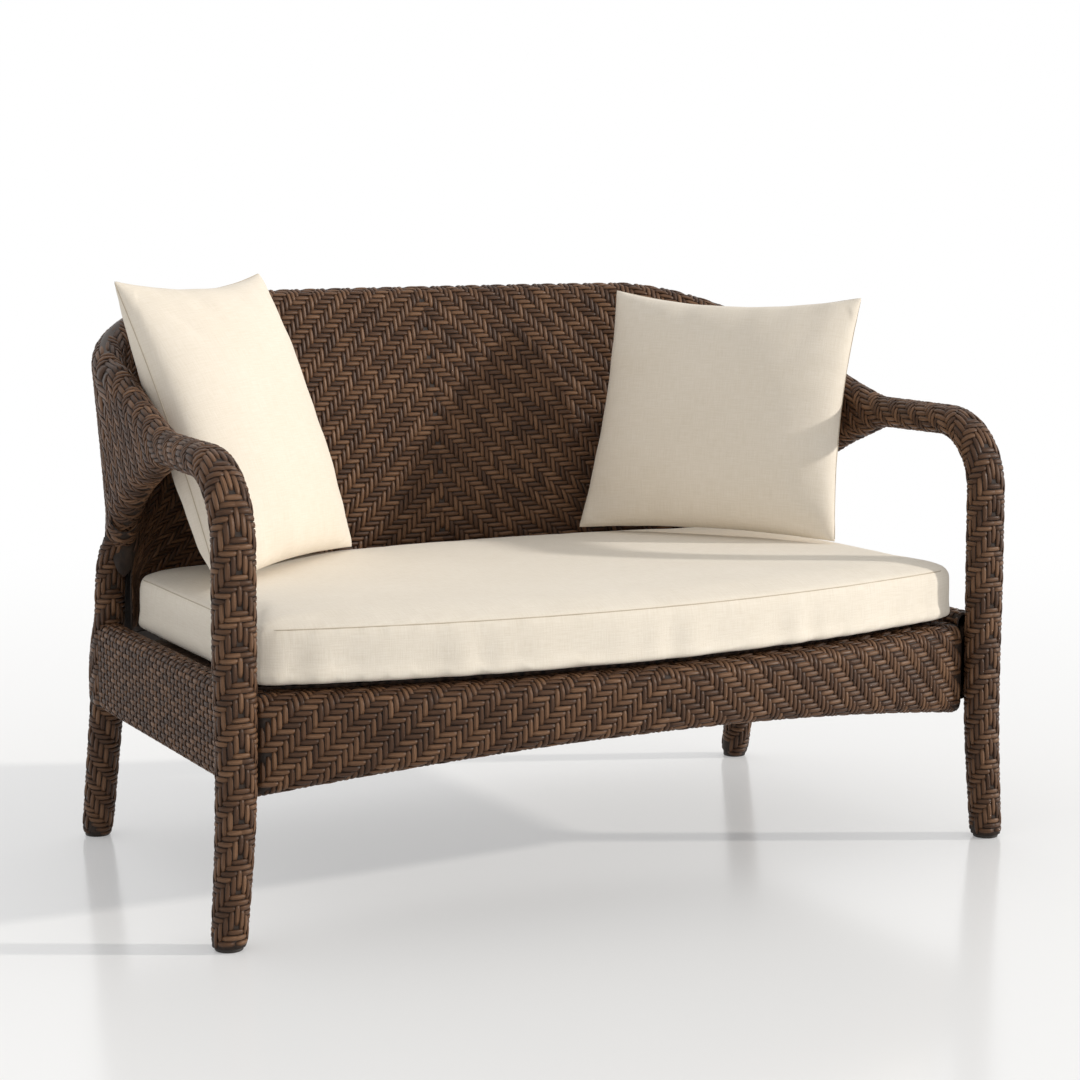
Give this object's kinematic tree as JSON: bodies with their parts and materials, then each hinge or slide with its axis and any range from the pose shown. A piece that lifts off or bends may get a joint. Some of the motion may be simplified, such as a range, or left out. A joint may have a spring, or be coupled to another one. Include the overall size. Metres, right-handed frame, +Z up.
{
  "type": "patio loveseat",
  "caption": "Woven resin loveseat on a tube frame, with a curved back, swept arms, a loose seat cushion and loose throw pillows",
  "frame": {"origin": "on the ground, under the middle of the object's box", "axes": "+Z up, the front faces -Y, +X to the right as seen from the front"},
  "size_m": [1.353, 0.869, 0.9133],
  "materials": {
    "resin_weave": "flat brown resin strand in a herringbone weave, slightly glossy",
    "cream_fabric": "cream linen-look outdoor fabric",
    "filling": "foam and fibre filling",
    "frame_metal": "welded tube, brown powder coat",
    "glide": "moulded dark brown plastic",
    "zip": "cream zip tape and nylon slider"
  },
  "bodies": {
    "frame": {"back_inner_weave": "resin_weave", "back_outer_weave": "resin_weave", "front_apron_rod": "frame_metal", "front_apron_weave": "resin_weave", "front_left_glide": "glide", "front_right_glide": "glide", "left_apron_rod": "frame_metal", "left_apron_weave": "resin_weave", "left_arm_tube": "frame_metal", "left_arm_weave": "resin_weave", "left_back_upright": "frame_metal", "left_rear_leg_weave": "resin_weave", "left_rear_post_tube": "frame_metal", "left_seat_cross_bar": "frame_metal", "left_seat_rail": "frame_metal", "left_wing_weave": "resin_weave", "middle_back_upright": "frame_metal", "middle_seat_cross_bar": "frame_metal", "rear_left_glide": "glide", "rear_right_glide": "glide", "right_apron_rod": "frame_metal", "right_apron_weave": "resin_weave", "right_arm_tube": "frame_metal", "right_arm_weave": "resin_weave", "right_back_upright": "frame_metal", "right_rear_leg_weave": "resin_weave", "right_rear_post_tube": "frame_metal", "right_seat_cross_bar": "frame_metal", "right_seat_rail": "frame_metal", "right_wing_weave": "resin_weave", "seat_deck": "resin_weave", "seat_front_rail": "frame_metal", "seat_rear_rail": "frame_metal", "top_rail_tube": "frame_metal", "top_rim_weave": "resin_weave"},
    "seat_cushion": {"seat_cushion_cover": "cream_fabric", "seat_cushion_foam": "filling", "seat_cushion_zip": "zip"},
    "zip_slider": {"seat_cushion_zip_slider": "zip"},
    "left_pillow": {"left_pillow_cover": "cream_fabric", "left_pillow_insert": "filling"},
    "right_pillow": {"right_pillow_cover": "cream_fabric", "right_pillow_insert": "filling"}
  },
  "joints": [
    {"name": "seat_cushion_lift", "type": "slide", "parent": "frame", "child": "seat_cushion", "axis": [0, -0.45, 0.893], "range_m": [0, 0.5]},
    {"name": "zip_slide", "type": "slide", "parent": "seat_cushion", "child": "zip_slider", "axis": [1, 0, 0], "range_m": [0, 0.87]},
    {"name": "left_pillow_lift", "type": "slide", "parent": "seat_cushion", "child": "left_pillow", "axis": [0, 0, 1], "range_m": [0, 0.4]},
    {"name": "right_pillow_lift", "type": "slide", "parent": "seat_cushion", "child": "right_pillow", "axis": [0, 0, 1], "range_m": [0, 0.4]}
  ]
}
